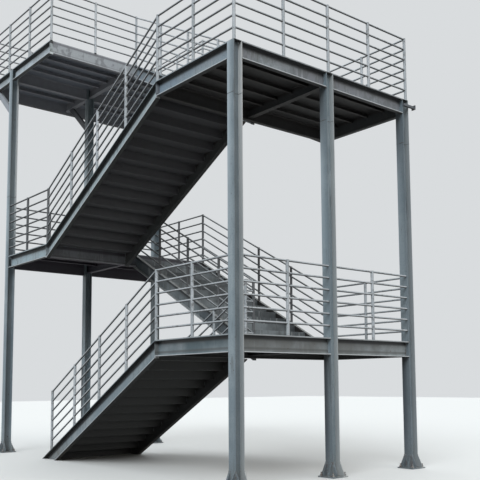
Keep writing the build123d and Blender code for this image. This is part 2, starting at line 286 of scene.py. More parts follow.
enamel = {
    "paint": "#808D93",
    "roughness": 0.5,
    "dustyRoughness": 0.82,
    "ior": 1.5,
    "edgeRadius": 0.0025,  # that the paint leaves on a sharp edge
    "bump": 0.35,
    "line": (0.0, 0.0, 0.0),  # X and Z of a point on the piece's top line, and the line's rise over its run
    "coats": {
        # each lies over the one before it, where every mask is between its limits
        "chalk": ("#98A3A7", 0.9, [("clouds", 0.38, 0.66)]),
        "grain": ("#69747A", 0.4, [("grain", 0.46, 0.72)]),
        "dirt": ("#4C4D4B", 0.5, [("streaks", 0.5, 0.7), ("patches", 0.42, 0.6), notBelow]),
        "pale": ("#B4BABB", 0.35, [("runs", 0.58, 0.72), ("patches", 0.55, 0.4), notBelow]),
        "dust": ("#84827B", 0.6, [("facingUp", 0.5, 0.95)]),
        # what faces down is darkened with soot and painted shade
        "sootAndShade": ("#282523", 0.95, [("facingUp", -0.15, -0.75)]),
        "splash": ("#6B6458", 0.6, [("height", 0.5, 0.02), ("grain", 0.3, 0.6)]),
        "edges": ("#AAB4B8", 0.45, [("edge", 0.995, 0.9)]),
        "rust": ("#5B3B29", 0.7, [("edge", 0.995, 0.93), ("chips", 0.5, 0.6)]),
        "specks": ("#4F3426", 0.7, [("chips", 0.68, 0.72)]),
    },
}


def enamelMaterial(name, s, coats=None):
    # alkyd enamel brushed over rolled steel and weathered: a soft satin grey with chalky patches, dirt washed
    # down in streaks, soot and painted shade on what faces down and rust where the paint is thin
    material, tree = startMaterial(name)
    where = addNode(tree, "ShaderNodeTexCoord", output="Object")
    normal = addNode(tree, "ShaderNodeNewGeometry", output="Normal")
    rounded = addNode(tree, "ShaderNodeBevel", {"Radius": s["edgeRadius"]}, samples=4)
    edge = addNode(tree, "ShaderNodeVectorMath", {0: rounded, 1: normal}, "Value", operation="DOT_PRODUCT")
    masks = {"edge": edge}
    for mask, source, axis in (
        ("facingUp", normal, "Z"), ("facingRight", normal, "X"),
        ("along", where, "X"), ("across", where, "Y"), ("height", where, "Z"),
    ):
        masks[mask] = addNode(tree, "ShaderNodeSeparateXYZ", {0: source}, axis)
    offMiddle = addNode(tree, "ShaderNodeMath", {0: masks["across"], 1: middleY}, operation="SUBTRACT")
    for mask, value in (("fromMiddle", offMiddle), ("facingAside", masks["facingRight"])):
        masks[mask] = addNode(tree, "ShaderNodeMath", {0: value}, operation="ABSOLUTE")
    # places on the nearest column's section, from its axis
    for mask, place, spacing in (("columnX", masks["along"], columnRun), ("columnY", offMiddle, columnBay)):
        wrapped = {0: place, 1: spacing / 2, 2: -spacing / 2}
        masks[mask] = addNode(tree, "ShaderNodeMath", wrapped, operation="WRAP")
    lineX, lineZ, grade = s["line"]
    line = {0: masks["along"], 1: grade, 2: lineZ - grade * lineX}
    line = addNode(tree, "ShaderNodeMath", line, operation="MULTIPLY_ADD")
    masks["under"] = addNode(tree, "ShaderNodeMath", {0: line, 1: masks["height"]}, operation="SUBTRACT")
    for pattern, (size, tall, detail, aside) in patterns.items():
        stretch = {"Vector": where, "Scale": (1, 1, 1 / tall), "Location": (aside, aside, aside)}
        place = addNode(tree, "ShaderNodeMapping", stretch)
        fine = {"Vector": place, "Scale": 1 / size, "Detail": detail, "Roughness": 0.55}
        masks[pattern] = addNode(tree, "ShaderNodeTexNoise", fine)

    colour = linear(s["paint"])
    rough = s["roughness"]
    for coat, (shade, strength, limits) in (s["coats"] | (coats or {})).items():
        amount = strength
        for mask, low, high in limits:
            span = {"Value": masks[mask], "From Min": low, "From Max": high}
            part = addNode(tree, "ShaderNodeMapRange", span, interpolation_type="SMOOTHSTEP")
            amount = addNode(tree, "ShaderNodeMath", {0: part, 1: amount}, operation="MULTIPLY")
        colour = addNode(tree, "ShaderNodeMix", {0: amount, 6: colour, 7: linear(shade)}, 2, data_type="RGBA")
        if coat in ("grain", "dust", "sootAndShade", "rust", "specks"):
            rough = addNode(tree, "ShaderNodeMix", {0: amount, 2: rough, 3: s["dustyRoughness"]})
    bump = {"Strength": s["bump"], "Distance": 0.001, "Height": masks["brush"], "Normal": rounded}
    bump = addNode(tree, "ShaderNodeBump", bump)
    shader = {"Base Color": colour, "Roughness": rough, "Normal": bump, "IOR": s["ior"]}
    shader = addNode(tree, "ShaderNodeBsdfPrincipled", shader)
    addNode(tree, "ShaderNodeOutputMaterial", {"Surface": shader})
    return material


def finish(name, material):
    slots = nodes[name].data.materials
    slots.clear()
    slots.append(material)


# Columns, railings, braces and ties

frontSkin = ("columnY", -0.064, -0.068)
backFlange = ("columnY", 0.058, 0.066)
frontRow = ("across", 0.9, 0.5)
laterRows = [("across", 0.9, 1.2), ("columnX", 0.12, -0.06), frontSkin]
columnCoats = {
    # the front flanges are paler on the left, the feet of the front columns are duller, their webs are
    # darkened as painted shade in the recess, the inner faces of the back flanges are lightened as painted
    # light, and the back row is duller
    # paler towards the left of the front flanges, between the first and the third landing
    "paleLeft": ("#B4C0C6", 0.7, [("columnX", 0.03, -0.07), ("height", 2.3, 5.4), frontSkin]),
    "dull": ("#566066", 0.4, [("columnX", 0.01, 0.075), frontSkin]),
    # painted shade in the web's recess between the flanges
    "web": ("#36383A", 0.4, [("facingAside", 0.5, 0.9), ("columnY", 0.066, 0.05), frontRow]),
    # painted light on the inner faces of the back flanges
    "inside": ("#ADAEAB", 0.75, [backFlange, ("along", -5.0, -3.0)]),
    "insideHigh": ("#CDCDCA", 0.8, [backFlange, ("height", 3.0, 5.6), frontRow]),
    "lowDull": ("#5B656B", 0.3, [("height", 1.8, 0.3), frontRow, frontSkin]),
    # the other rows are darker on the front below each right landing
    "lowShade": ("#2E3236", 0.9, [("height", -0.7, 0.9), ("height", 1.9, 1.84), *laterRows]),
    "highShade": ("#2E3236", 0.75, [("height", 4.7, 5.8), ("height", 6.1, 6.04), *laterRows]),
    "far": ("#5F686E", 0.35, [("across", 3.2, 3.6)]),
}
columnEnamel = enamelMaterial("weatheredEnamelColumns", enamel, columnCoats)

railPaint = enamel | {"paint": "#A4A8AA", "edgeRadius": 0.0015}
railCoats = {
    "chalk": ("#BABDBF", 0.9, [clouded]),
    # the rails' undersides are darkened with soot and painted shade
    "sootAndShade": ("#353231", 0.85, [("facingUp", -0.1, -0.7)]),
    "dirt": ("#56554F", 0.5, [("chips", 0.5, 0.62), ("patches", 0.42, 0.6)]),
}
railEnamel = enamelMaterial("weatheredEnamelRailings", railPaint, railCoats)
# the railings at the second storey are dark with painted shade, but for their tops
shadedRailCoats = railCoats | {"sides": ("#2C2A2A", 0.8, [("facingUp", 0.65, 0.15)])}
shadedRailEnamel = enamelMaterial("shadedEnamelRailings", railPaint, shadedRailCoats)

beamPaint = enamel | {"paint": "#767D80"}
beamCoats = {
    "chalk": ("#9AA1A3", 0.6, [clouded]),
    "dirt": ("#4B4B48", 0.5, [("streaks", 0.5, 0.68), ("patches", 0.42, 0.58), notBelow]),
    "pale": ("#B2B6B5", 0.35, [("runs", 0.56, 0.68), ("patches", 0.6, 0.45), notBelow]),
}
braceCoats = beamCoats | {"shadowed": ("#3C3F42", 0.8, [("across", 0.5, 0.9)])}
braceEnamel = enamelMaterial("weatheredEnamelBraces", beamPaint | {"paint": "#A4A4AE"}, braceCoats)
deckEnamel = enamelMaterial("sootAndShadeEnamelDecks", beamPaint, beamCoats)

for name in nodes:
    if name.endswith("_column"):
        finish(name, columnEnamel)
    elif name.endswith("_railing"):
        finish(name, shadedRailEnamel if "_2_" in name else railEnamel)
    elif name.endswith(("_braces", "_ties")):
        finish(name, braceEnamel)


# Landings and flights

beamWear = {
    # the black band under the top flanges is painted shadow and dirt
    "flangeShadowAndDirt": ("#141416", 0.92),
    # a thin darker line across the webs
    "darkLine": ("#4A4A47", 0.6),
    "insideSootAndShade": ("#2B2826", 0.9),
    # the pale rims are painted highlights on the lit edges of flanges and decks
    "rim": "#D2D5D5",
    "beamRim": 0.7,
    "stringerRim": 0.5,
    "blots": "#484E4C",
    # metres under the top line: the flanges' tips, and how far the painted shadow and dirt under the
    # stringers' top flanges reach
    "beamLedge": ("under", 0.017, 0.019),
    "beamTop": ("under", 0.0175, 0.0165),
    "beamFoot": ("under", 0.2435, 0.2445),
    "stringerLedge": ("under", 0.012, 0.0145),
    "stringerShadowReach": ("under", 0.105, 0.06),
    "stringerFoot": ("under", 0.2695, 0.2705),
    "blur": 0.002,  # either side of the middle of a web
}

lowLineDepths = (0.206, 0.218, 0.236, 0.224)
landingLooks = {
    # the colour of the front of the beams and where they face aside, their differences between landings and
    # between front and sides partly painted light and shade, how much that is blotted and how strong the
    # painted highlight on the top edge is, how far under the top line the painted shadow and dirt under the
    # flanges reach and where a thin darker line runs, the share of the usual streaks, and the soot and
    # painted shade inside the frame and under the deck
    1: {
        "front": "#505F64", "aside": "#6C6C69", "blots": 0.15, "rim": 0.3, "flangeShadowReach": (0.09, 0.05),
        "darkLineDepths": (0.17, 0.188, 0.222, 0.206), "streaks": 0.24, "sootAndShade": "#2B2826", "under": "#282523",
    },
    2: {
        "front": "#A2B4BA", "aside": "#6E7073", "blots": 0.3, "rim": 0.1, "flangeShadowReach": (0.1, 0.06),
        "darkLineDepths": lowLineDepths, "streaks": 1, "sootAndShade": "#48424A", "under": "#48424A",
    },
    3: {
        "front": "#8494A0", "aside": "#78787B", "blots": 0.35, "rim": 0.15, "flangeShadowReach": (0.1, 0.045),
        "darkLineDepths": lowLineDepths, "streaks": 1, "sootAndShade": "#2B2826", "under": "#282523",
    },
    4: {
        "front": "#C2CCD2", "aside": "#9EA5A3", "blots": 0.85, "rim": 0.1, "flangeShadowReach": (0.075, 0.045),
        "darkLineDepths": lowLineDepths, "streaks": 1, "sootAndShade": "#A1A1A7", "under": "#888C96",
    },
}

flightLooks = {
    # the colour of the stringers and of the steps, their differences between flights partly painted light and
    # shade, and the soot and painted shade under the steps
    1: {"stringers": "#7F8C92", "steps": "#767D80", "sootAndShade": ("#1C1B18", 0.97)},
    2: {"stringers": "#444B4F", "steps": "#474B4D", "sootAndShade": ("#282523", 0.95)},
    3: {"stringers": "#B0BDC0", "steps": "#767D80", "sootAndShade": ("#3C3A3C", 0.95)},
    4: {"stringers": "#84909A", "steps": "#6A7072", "sootAndShade": ("#282523", 0.95)},
}


def thinned(coat, share):
    shade, strength, limits = coat
    return shade, strength * share, limits


def frameMaterial(landing, looks, s):
    # inside is the stretch between the webs of the edge beams, darkened with soot and painted shade
    edge, _, outer, way = landingSide(landing)
    low, high = sorted((edge, (topEnd if landing == 4 else outer) - way * webInset))
    inside = [
        ("along", low - s["blur"], low + s["blur"]),
        ("along", high + s["blur"], high - s["blur"]),
        ("fromMiddle", outerWeb + s["blur"], outerWeb - s["blur"]),
    ]
    coats = {"aside": (looks["aside"], 0.9, [onSides])} | enamel["coats"]
    coats["blots"] = (s["blots"], looks["blots"], [("blots", 0.5, 0.6), onSides])
    own = {"paint": looks["front"], "coats": coats, "line": (0.0, landing * sections["rise"], 0.0)}
    edges = {
        "ledge": (*s["flangeShadowAndDirt"], [("under", *looks["flangeShadowReach"]), s["beamLedge"]]),
        "darkLine": (*s["darkLine"], [("under", *looks["darkLineDepths"][:2]), ("under", *looks["darkLineDepths"][2:])]),
        "dirt": thinned(beamCoats["dirt"], looks["streaks"]),
        "pale": thinned(beamCoats["pale"], looks["streaks"]),
        # painted highlights on the lit edges of the top and bottom flanges
        "topRim": (s["rim"], looks["rim"], [s["beamTop"], notAbove]),
        "lowRim": (s["rim"], s["beamRim"], [s["beamFoot"], notBelow]),
        "inside": (looks["sootAndShade"], s["insideSootAndShade"][1], inside),
    }
    return enamelMaterial(f"sootAndShadeEnamelFrame{landing}", enamel | own, beamCoats | edges)


def deckMaterial(landing, looks, s):
    coats = beamCoats | {
        # soot and painted shade under the deck
        "sootAndShade": (looks["under"], *enamel["coats"]["sootAndShade"][1:]),
        # painted highlight on the deck's lit edges
        "topRim": (s["rim"], looks["rim"], [notAbove, notBelow]),
    }
    return enamelMaterial(f"sootAndShadeEnamelDeck{landing}", beamPaint, coats)


def stringerMaterial(flight, looks, s):
    (foot, level), _ = flightEnds(flight)
    grade = flightWay(flight) * sections["rise"] / sections["run"]
    # inside, between the stringers' webs, is darkened with soot and painted shade
    inside = [
        ("fromMiddle", outerWeb + s["blur"], outerWeb - s["blur"]),
        ("fromMiddle", innerWeb - s["blur"], innerWeb + s["blur"]),
    ]
    own = beamPaint | {"paint": looks["stringers"], "line": (foot, level, grade)}
    edges = {
        "ledge": (*s["flangeShadowAndDirt"], [s["stringerShadowReach"], s["stringerLedge"]]),
        # painted highlight on the bottom flange's lit edge
        "lowRim": (s["rim"], s["stringerRim"], [s["stringerFoot"], notBelow]),
        "inside": (*s["insideSootAndShade"], inside),
    }
    return enamelMaterial(f"sootAndShadeEnamelStringers{flight}", own, beamCoats | edges)


def stepMaterial(flight, looks):
    # the backs of the risers get as much soot and painted shade as the undersides of the treads
    way = flightWay(flight)
    coats = beamCoats | {
        "sootAndShade": (*looks["sootAndShade"], enamel["coats"]["sootAndShade"][2]),
        "inside": (*looks["sootAndShade"], [("facingRight", 0.3 * way, 0.8 * way)]),
    }
    return enamelMaterial(f"sootAndShadeEnamelSteps{flight}", beamPaint | {"paint": looks["steps"]}, coats)


for storey in storeys:
    finish(f"landing_{storey}_frame", frameMaterial(storey, landingLooks[storey], beamWear))
    finish(f"landing_{storey}_deck", deckMaterial(storey, landingLooks[storey], beamWear))
    finish(f"flight_{storey}_stringers", stringerMaterial(storey, flightLooks[storey], beamWear))
    finish(f"flight_{storey}_steps", stepMaterial(storey, flightLooks[storey]))
print("steelwork finished with enamel")


# Weld metal and zinc plate

weldPaint = enamel | {"paint": "#757D80", "roughness": 0.6, "edgeRadius": 0.0006, "bump": 0.6}
weldCoats = {"chalk": ("#8A9092", 0.8, [clouded]), "rust": ("#54382A", 0.75, [("chips", 0.48, 0.6)])}
weldEnamel = enamelMaterial("enamelledWeldMetal", weldPaint, weldCoats)

# the welds under the decks are darkened with soot and painted shade, like the soffits they sit on
underPaint = weldPaint | {"paint": "#33302E", "roughness": 0.8}
underCoats = {"chalk": ("#3C3936", 0.8, [clouded]), "pale": ("#3C3936", 0.3, [clouded])}
sootAndShadeWeld = enamelMaterial("sootAndShadeWeldMetal", underPaint, underCoats)

zincPlate = {
    "grey": "#8C8F90",
    "bloom": "#B5B6B2",
    "rust": "#5A3B28",
    "spotSize": 0.012,
    "bloomSize": 0.03,
    "roughness": 0.45,
    "rustRoughness": 0.9,
}


def zincMaterial(name, s):
    # zinc-plated steel nuts left outdoors: dull grey metal with white bloom and brown rust spots
    material, tree = startMaterial(name)
    where = addNode(tree, "ShaderNodeTexCoord", output="Object")
    spots = addNode(tree, "ShaderNodeTexNoise", {"Vector": where, "Scale": 1 / s["spotSize"], "Detail": 4.0})
    bloom = addNode(tree, "ShaderNodeTexNoise", {"Vector": where, "Scale": 1 / s["bloomSize"], "Detail": 2.0})
    share = {"Value": bloom, "From Min": 0.42, "From Max": 0.62}
    share = addNode(tree, "ShaderNodeMapRange", share, interpolation_type="SMOOTHSTEP")
    zinc = {0: share, 6: linear(s["grey"]), 7: linear(s["bloom"])}
    colour = addNode(tree, "ShaderNodeMix", zinc, 2, data_type="RGBA")
    rusty = {"Value": spots, "From Min": 0.5, "From Max": 0.6}
    rusty = addNode(tree, "ShaderNodeMapRange", rusty, interpolation_type="SMOOTHSTEP")
    colour = addNode(tree, "ShaderNodeMix", {0: rusty, 6: colour, 7: linear(s["rust"])}, 2, data_type="RGBA")
    rough = addNode(tree, "ShaderNodeMix", {0: rusty, 2: s["roughness"], 3: s["rustRoughness"]})
    metal = addNode(tree, "ShaderNodeMath", {0: 1.0, 1: rusty}, operation="SUBTRACT")
    bump = addNode(tree, "ShaderNodeBump", {"Strength": 0.4, "Distance": 0.0006, "Height": spots})
    shader = {"Base Color": colour, "Roughness": rough, "Metallic": metal, "Normal": bump}
    shader = addNode(tree, "ShaderNodeBsdfPrincipled", shader)
    addNode(tree, "ShaderNodeOutputMaterial", {"Surface": shader})
    return material


rustyZinc = zincMaterial("rustedZincPlate", zincPlate)


# Geometry Nodes trees for what repeats or follows a line


def startTree(name, inputs):
    # a tree with named inputs, and the sockets that give them inside it
    tree = bpy.data.node_groups.new(name, "GeometryNodeTree")
    tree.interface.new_socket("Geometry", in_out="INPUT", socket_type="NodeSocketGeometry")
    for label, kind in inputs.items():
        tree.interface.new_socket(label, in_out="INPUT", socket_type="NodeSocket" + kind)
    tree.interface.new_socket("Geometry", in_out="OUTPUT", socket_type="NodeSocketGeometry")
    return tree, tree.nodes.new("NodeGroupInput").outputs


def endTree(tree, shape, material, smooth):
    shape = addNode(tree, "GeometryNodeRealizeInstances", {0: shape})
    shape = addNode(tree, "GeometryNodeSetShadeSmooth", {"Geometry": shape, "Shade Smooth": smooth})
    shape = addNode(tree, "GeometryNodeSetMaterial", {"Geometry": shape, "Material": material})
    addNode(tree, "NodeGroupOutput", {0: shape})


def grow(piece, tree, values):
    # runs the tree on the piece, its inputs set by name, keeps the mesh and hands the piece to the frame
    modifier = piece.modifiers.new(tree.name, "NODES")
    modifier.node_group = tree
    for item in tree.interface.items_tree:
        if item.in_out == "INPUT" and item.name in values:
            modifier[item.identifier] = values[item.name]
    shaped = piece.evaluated_get(bpy.context.evaluated_depsgraph_get())
    mesh = bpy.data.meshes.new_from_object(shaped)
    piece.modifiers.remove(modifier)
    lines = piece.data
    piece.data = mesh
    bpy.data.meshes.remove(lines)
    mesh.name = piece.name
    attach(piece, "root")
    triangles = sum(len(face.vertices) - 2 for face in mesh.polygons)
    print(piece.name, triangles, "triangles")


def linePiece(name, lines):
    # a mesh of edges only: each line is its points and whether it closes on itself
    points = []
    edges = []
    for places, closed in lines:
        first = len(points)
        points.extend(places)
        edges.extend((first + i, first + i + 1) for i in range(len(places) - 1))
        if closed:
            edges.append((first + len(places) - 1, first))
    return newPiece(name, points, edges)


rippleScale = 90.0  # of the noise, so that a ripple is about 11 mm long


def beadTree(name, resampled, metal):
    # a weld bead laid along lines, rippled where it is long enough to be divided
    inputs = {"bead": "Float", "sides": "Int", "ripple": "Float", "step": "Float", "seed": "Float"}
    tree, given = startTree(name, inputs)
    line = addNode(tree, "GeometryNodeMeshToCurve", {"Mesh": given["Geometry"]})
    if resampled:
        divided = {"Curve": line, "Length": given["step"]}
        line = addNode(tree, "GeometryNodeResampleCurve", divided, mode="LENGTH")
    ring = {"Resolution": given["sides"], "Radius": given["bead"]}
    ring = addNode(tree, "GeometryNodeCurvePrimitiveCircle", ring)
    bead = {"Curve": line, "Profile Curve": ring, "Fill Caps": True}
    bead = addNode(tree, "GeometryNodeCurveToMesh", bead)
    if resampled:
        wave = {"W": given["seed"], "Scale": rippleScale, "Detail": 1.0}
        wave = addNode(tree, "ShaderNodeTexNoise", wave, noise_dimensions="4D")
        centred = addNode(tree, "ShaderNodeMath", {0: wave, 1: 0.5}, operation="SUBTRACT")
        lift = addNode(tree, "ShaderNodeMath", {0: centred, 1: given["ripple"]}, operation="MULTIPLY")
        outwards = addNode(tree, "GeometryNodeInputNormal")
        offset = addNode(tree, "ShaderNodeVectorMath", {0: outwards, "Scale": lift}, operation="SCALE")
        bead = addNode(tree, "GeometryNodeSetPosition", {"Geometry": bead, "Offset": offset})
    endTree(tree, bead, metal, True)
    return tree


longBead = beadTree("longBead", True, weldEnamel)
shortBead = beadTree("shortBead", False, weldEnamel)
hiddenBead = beadTree("hiddenBead", True, sootAndShadeWeld)


# Railings: where their posts and rails meet

railings = {
    "height": 1.12,
    "count": 6,
    "railRadius": 0.016,
    "postRadius": 0.025,
    "inset": 0.03,
    "footSetback": 0.34,
    "flightBays": 4,
    "landingBays": 2,
    "sideBays": 4,  # where no column stands in the railing's way
    "topBays": 3,
}
railPitch = (railings["height"] - railings["railRadius"]) / railings["count"]

frontRail = frontFace + railings["inset"]
backRail = backFace - railings["inset"]
wellRail = sections["wellGap"] / 2 + railings["inset"]
frontWell = middleY - wellRail
backWell = middleY + wellRail
topRail = topEnd + railings["inset"]


def flightRun(flight, y):
    # a flight's railing, with a post at every bay's end
    (x, z), (endX, endZ) = flightEnds(flight)
    if flight == 1:
        x += railings["footSetback"]
        z += railings["footSetback"] * sections["rise"] / sections["run"]
    return Vector((x, y, z)), Vector((endX, y, endZ)), railings["flightBays"], (True, True)


def levelRun(start, end, level, bays, ends=(True, True)):
    # ends say whether a post stands there, or else a column's flat face
    return Vector((*start, level)), Vector((*end, level)), bays, ends


def landingRuns(landing):
    level = landing * sections["rise"]
    edge, axis, outer, way = landingSide(landing)
    side = outer - way * railings["inset"]
    bays = railings["landingBays"]
    if landing == 3:
        runs = [levelRun((edge, y), (side, y), level, bays) for y in (frontRail, backRail)]
        return runs + [levelRun((side, frontRail), (side, backRail), level, railings["sideBays"])]
    if landing == 4:
        runs = [levelRun((edge, y), (topRail, y), level, railings["topBays"]) for y in (frontRail, backRail)]
        runs.append(levelRun((topRail, frontRail), (topRail, middleY), level, bays))
        return runs + [levelRun((edge, frontRail), (edge, backWell), level, bays)]
    web = axis - way * sections["columnWeb"] / 2
    runs = [levelRun((edge, y), (web, y), level, bays, (True, False)) for y in (frontRail, backRail)]
    for low, high in zip(columnLines, columnLines[1:]):
        span = ((side, low + halfColumn), (side, high - halfColumn))
        runs.append(levelRun(*span, level, bays, (False, False)))
    return runs


def storeyRuns(storey):
    # the railings of one flight and of the landing that it reaches
    outer, inner = (frontRail, frontWell) if storey % 2 else (backRail, backWell)
    runs = [flightRun(storey, outer), flightRun(storey, inner)]
    if storey < 4:
        _, (x, z) = flightEnds(storey)
        runs.append(levelRun((x, frontWell), (x, backWell), z, 1))
    return runs + landingRuns(storey)


railWelds = {"bead": 0.0035, "sides": 4, "round": 12}
postWelds = {"bead": 0.0045, "sides": 5, "round": 20}


def angles(count):
    return [2 * math.pi * i / count for i in range(count)]


def railSection(along, s):
    # points round a rail, square to the way that it runs
    lateral = along.cross(Vector((0, 0, 1))).normalized()
    above = lateral.cross(along)
    radius = railings["railRadius"]
    return [radius * (math.cos(a) * lateral + math.sin(a) * above) for a in angles(s["round"])]


def weldRing(centre, along, way, s):
    # the closed line where a rail runs into a post, on one side of it
    flat = Vector((along.x, along.y, 0))
    a = flat.length_squared
    ring = []
    for offset in railSection(along, s):
        level = Vector((offset.x, offset.y, 0))
        b = 2 * way * level.dot(flat)
        c = level.length_squared - railings["postRadius"] ** 2
        reach = (-b + math.sqrt(b * b - 4 * a * c)) / (2 * a)
        point = centre + offset + way * reach * along
        point.z = min(point.z, cadBox[1][2] - s["bead"])  # the top rail's beads end flush with it
        ring.append(point)
    return ring


def bayEnds(start, end, bays, posts):
    # along a railing: each number, the place of its foot and whether a post stands there
    standing = [posts[0]] + [True] * (bays - 1) + [posts[1]]
    return [(i, start.lerp(end, i / bays), standing[i]) for i in range(bays + 1)]


def railWeldLines(runs, s):
    # round each rail on both sides of a post, and where it ends on a column's flat face
    lines = []
    for start, end, bays, posts in runs:
        along = (end - start).normalized()
        for i, foot, standing in bayEnds(start, end, bays, posts):
            for rail in range(railings["count"]):
                centre = foot + Vector((0, 0, railPitch * (rail + 1)))
                if not standing:
                    lines.append(([centre + offset for offset in railSection(along, s)], True))
                    continue
                if i > 0:
                    lines.append((weldRing(centre, along, -1, s), True))
                if i < bays:
                    lines.append((weldRing(centre, along, 1, s), True))
    return lines


def postFeet(runs):
    # each post's foot once, with the rise over the run of what it stands on
    feet = {}
    for start, end, bays, posts in runs:
        climbs = abs(end.z - start.z) > 0.01
        for i, foot, standing in bayEnds(start, end, bays, posts):
            if not standing:
                continue
            onStringer = 0 < i < bays or start.z < sections["rise"] / 2 and i == 0
            lean = (end.z - start.z) / (end.x - start.x) if climbs and onStringer else 0.0
            feet.setdefault(tuple(round(v, 4) for v in foot), lean)
    return feet


def footLines(feet, s):
    # round each post, along the slope of what it stands on
    radius = railings["postRadius"]
    ring = [(radius * math.cos(a), radius * math.sin(a)) for a in angles(s["round"])]
    return [([(x + i, y + j, z + lean * i) for i, j in ring], True) for (x, y, z), lean in feet.items()]


allFeet = {}
for storey in storeys:
    runs = storeyRuns(storey)
    feet = {place: lean for place, lean in postFeet(runs).items() if place not in allFeet}
    allFeet |= feet
    rings = linePiece(f"rail_welds_{storey}", railWeldLines(runs, railWelds))
    grow(rings, shortBead, railWelds)
    rings = linePiece(f"post_foot_welds_{storey}", footLines(feet, postWelds))
    grow(rings, shortBead, postWelds)


# Discs that close the posts' tops

postCap = {"radius": 0.0265, "topRadius": 0.0235, "thick": 0.004, "sides": 24}


def capTree():
    inputs = {"radius": "Float", "topRadius": "Float", "thick": "Float", "sides": "Int"}
    tree, given = startTree("postCap", inputs)
    disc = {"Vertices": given["sides"], "Depth": given["thick"]}
    disc |= {"Radius Top": given["topRadius"], "Radius Bottom": given["radius"]}
    disc = addNode(tree, "GeometryNodeMeshCone", disc)
    caps = addNode(tree, "GeometryNodeInstanceOnPoints", {"Points": given["Geometry"], "Instance": disc})
    endTree(tree, caps, railEnamel, False)
    return tree


tops = [(x, y, z + railings["height"] - postCap["thick"]) for x, y, z in allFeet]
grow(newPiece("post_caps", tops), capTree(), postCap)
print("railings welded:", len(allFeet), "posts")


# Anchor bolts of the columns and of the ties

anchors = {
    "spacing": 0.25,
    "plateTop": 0.02,
    "nutAcross": 0.0416,  # corner to corner, for a 24 mm bolt
    "nutHeight": 0.0215,
    "washerRadius": 0.022,
    "washerThick": 0.004,
    "studRadius": 0.012,
    "studLength": 0.058,
    "direction": (0, 0, 1),
    "seed": 11,
}

tieBolts = {
    "spacing": 0.058,
    "nutAcross": 0.0185,  # corner to corner, for a 10 mm bolt
    "nutHeight": 0.0084,
    "washerRadius": 0.01,
    "washerThick": 0.002,
    "studRadius": 0.005,
    "studLength": 0.022,
    "direction": (0, -1, 0),
    "seed": 11,
}

ties = {"width": 0.04, "plateThick": 0.008, "plate": 0.08}


def boltTree():
    # washer, nut and the end of the stud, turned at random about the bolt's own axis
    sizes = ("nutAcross", "nutHeight", "washerRadius", "washerThick", "studRadius", "studLength")
    inputs = dict.fromkeys(sizes, "Float") | {"direction": "Vector", "seed": "Int"}
    tree, given = startTree("boltEnd", inputs)
    half = addNode(tree, "ShaderNodeMath", {0: given["nutAcross"], 1: 0.5}, operation="MULTIPLY")
    parts = []
    for sides, radius, height, under in (
        (24, given["washerRadius"], given["washerThick"], None),
        (6, half, given["nutHeight"], given["washerThick"]),
        (16, given["studRadius"], given["studLength"], None),
    ):
        part = {"Vertices": sides, "Radius": radius, "Depth": height}
        part = addNode(tree, "GeometryNodeMeshCylinder", part)
        lift = addNode(tree, "ShaderNodeMath", {0: height, 1: 0.5}, operation="MULTIPLY")
        if under:
            lift = addNode(tree, "ShaderNodeMath", {0: lift, 1: under}, operation="ADD")
        raised = addNode(tree, "ShaderNodeCombineXYZ", {"Z": lift})
        parts.append(addNode(tree, "GeometryNodeTransform", {"Geometry": part, "Translation": raised}))
    bolt = addNode(tree, "GeometryNodeJoinGeometry", {0: parts})
    turn = {"Min": 0.0, "Max": 6.28, "Seed": given["seed"]}
    turn = addNode(tree, "FunctionNodeRandomValue", turn, "Value")
    spin = addNode(tree, "FunctionNodeAxisAngleToRotation", {"Angle": turn})
    aim = {"Rotation": spin, "Vector": given["direction"]}
    aim = addNode(tree, "FunctionNodeAlignRotationToVector", aim)
    bolts = {"Points": given["Geometry"], "Instance": bolt, "Rotation": aim}
    bolts = addNode(tree, "GeometryNodeInstanceOnPoints", bolts)
    endTree(tree, bolts, rustyZinc, False)
    return tree


boltEnds = boltTree()


def boltSquare(s):
    # the four bolts of a plate, from its centre
    return [(i * s["spacing"] / 2, j * s["spacing"] / 2) for i in (-1, 1) for j in (-1, 1)]


anchorPoints = [(x + i, y + j, anchors["plateTop"]) for x, y in columnAxes for i, j in boltSquare(anchors)]
grow(newPiece("anchor_nuts", anchorPoints), boltEnds, anchors)

tieLow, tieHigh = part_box("wall_ties")
tiePlateFace = tieHigh.y - ties["plateThick"]
halfPlate = ties["plate"] / 2
tieCentres = ((tieHigh.x - halfPlate, tieLow.z + halfPlate), (tieLow.x + halfPlate, tieHigh.z - halfPlate))
tiePoints = [(x + i, tiePlateFace, z + j) for x, z in tieCentres for i, j in boltSquare(tieBolts)]
grow(newPiece("wall_tie_nuts", tiePoints), boltEnds, tieBolts)
print("anchors set")


# Weld beads of the steelwork

steelWelds = {
    "columns": {"bead": 0.004, "sides": 6, "ripple": 0.0016, "step": 0.012, "seed": 2.0},
    "bases": {"bead": 0.006, "sides": 6, "ripple": 0.002, "step": 0.012, "seed": 5.0},
    "beams": {"bead": 0.005, "sides": 6, "ripple": 0.002, "step": 0.014, "seed": 8.0},
    "steps": {"bead": 0.004, "sides": 5, "ripple": 0.002, "step": 0.012, "seed": 3.0},
}
spliceHeight = 5.525


def columnOutline(x, y, z):
    # corners of the H section, with its flanges facing the front and the back
    inner = halfColumn - sections["columnFlange"]
    web = sections["columnWeb"] / 2
    quarter = [(web, inner), (halfColumn, inner), (halfColumn, halfColumn)]
    half = quarter + [(-i, j) for i, j in reversed(quarter)]
    return [(x + i, y + j, z) for i, j in half + [(-i, -j) for i, j in half]]


splices = [(columnOutline(x, y, spliceHeight), True) for x, y in columnAxes]
grow(linePiece("column_splice_welds", splices), longBead, steelWelds["columns"])

base = {"size": 0.32, "thick": 0.02, "gussetTop": 0.23, "spacing": 0.1, "gussetThick": 0.01, "margin": 0.008}


